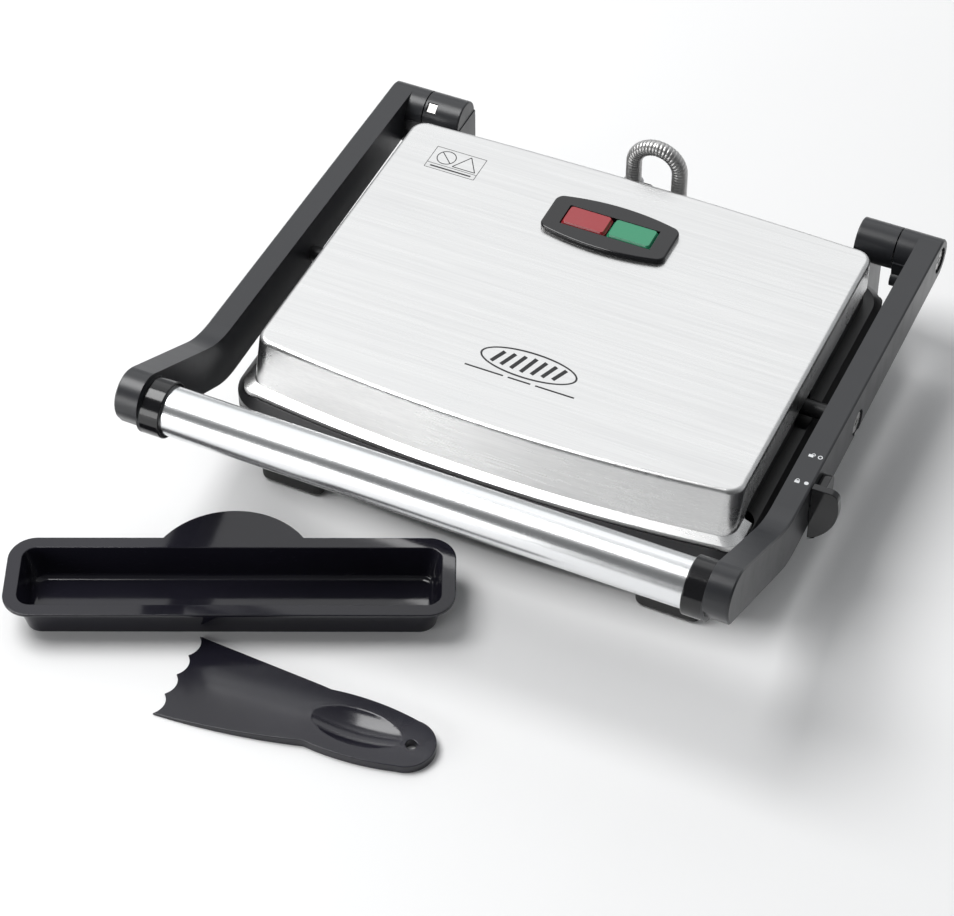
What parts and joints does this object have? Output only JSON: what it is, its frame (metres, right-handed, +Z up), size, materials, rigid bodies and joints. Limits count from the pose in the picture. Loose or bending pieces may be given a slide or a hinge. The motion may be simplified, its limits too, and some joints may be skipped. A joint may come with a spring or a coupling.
{
  "type": "panini press",
  "caption": "Contact grill with a hinged upper plate housing in a cranked arm frame with a tube handle, a slide lock, a loose drip tray and a scraper.",
  "frame": {"origin": "on the table the feet stand on, under the middle of the steel cover", "axes": "+X to the right seen from the handle, +Y from the handle to the hinge, +Z up"},
  "size_m": [0.4288, 0.469, 0.1271],
  "materials": {
    "brushed_steel": "fine brushing side to side",
    "black_housing": "satin moulded black",
    "black_arm": "satin grey-black",
    "satin_aluminium": "satin anodised",
    "plain_steel": "bright zinc",
    "spring_steel": "plain",
    "screw_steel": "nickel plated",
    "nonstick": "non-stick coating",
    "heater_sheath": "heat tinted",
    "reflector_sheet": "plain sheet",
    "foot_rubber": "matte",
    "gloss_black": "high gloss",
    "red_lens": "clear red",
    "green_lens": "clear green",
    "tray_black": "gloss",
    "scraper_black": "satin gloss",
    "conduit_steel": "wound steel sheath",
    "black_gland": "satin",
    "white_insulator": "matte",
    "lamp_glass": "clear",
    "brass_bush": "turned"
  },
  "bodies": {
    "base": {"lower_housing": "black_housing", "bottom_cover": "black_housing", "bottom_cover_screws": "screw_steel", "rubber_feet": "foot_rubber", "lower_grill_plate": "nonstick", "lower_heater": "heater_sheath", "lower_reflector": "reflector_sheet", "lower_plate_screws": "screw_steel", "left_hinge_bracket": "black_arm", "right_hinge_bracket": "black_arm", "hinge_bracket_screws": "screw_steel", "lid_stop": "screw_steel", "cord_gland": "black_gland", "terminal_block": "white_insulator", "base_link_gland": "plain_steel", "lower_thermal_fuse": "reflector_sheet"},
    "arm_frame": {"left_arm": "black_arm", "right_arm": "black_arm", "left_hinge_pin": "screw_steel", "right_hinge_pin": "screw_steel", "left_pivot_screw": "screw_steel", "right_pivot_screw": "screw_steel", "handle_tube": "satin_aluminium", "handle_tie_rod": "plain_steel", "link_conduit": "conduit_steel"},
    "upper_press": {"steel_cover": "brushed_steel", "upper_housing": "black_housing", "upper_grill_plate": "nonstick", "upper_heater": "heater_sheath", "upper_reflector": "reflector_sheet", "upper_plate_screws": "screw_steel", "left_pivot_bush": "brass_bush", "right_pivot_bush": "brass_bush", "light_bezel": "gloss_black", "red_lens": "red_lens", "green_lens": "green_lens", "lamp_holder": "white_insulator", "indicator_lamps": "lamp_glass", "thermostat": "plain_steel", "upper_thermal_fuse": "reflector_sheet", "lid_link_gland": "plain_steel"},
    "lock": {"lock_slider": "black_arm", "lock_clip": "spring_steel"},
    "tray": {"drip_tray": "tray_black"},
    "scraper_tool": {"scraper": "scraper_black"}
  },
  "joints": [
    {"name": "lid_hinge", "type": "hinge", "parent": "base", "child": "arm_frame", "pos_m": [0, 0.139, 0.069], "axis": [-1, 0, 0], "range_deg": [0, 100], "deforming": ["link_conduit"]},
    {"name": "plate_tilt", "type": "hinge", "parent": "arm_frame", "child": "upper_press", "pos_m": [0, -0.004, 0.0625], "axis": [1, 0, 0], "range_deg": [0, 6]},
    {"name": "lock_slide", "type": "slide", "parent": "arm_frame", "child": "lock", "axis": [0, 1, 0], "range_m": [0, 0.022]},
    {"name": "tray_draw", "type": "slide", "parent": "base", "child": "tray", "axis": [-0.9107, -0.4131, 0], "range_m": [0, 0.28]},
    {"name": "scraper_draw", "type": "slide", "parent": "base", "child": "scraper_tool", "axis": [0.4131, -0.9107, 0], "range_m": [0, 0.12]}
  ],
  "couplings": [
    {"joint": "plate_tilt", "follows": "lid_hinge", "ratio": 0.06}
  ]
}
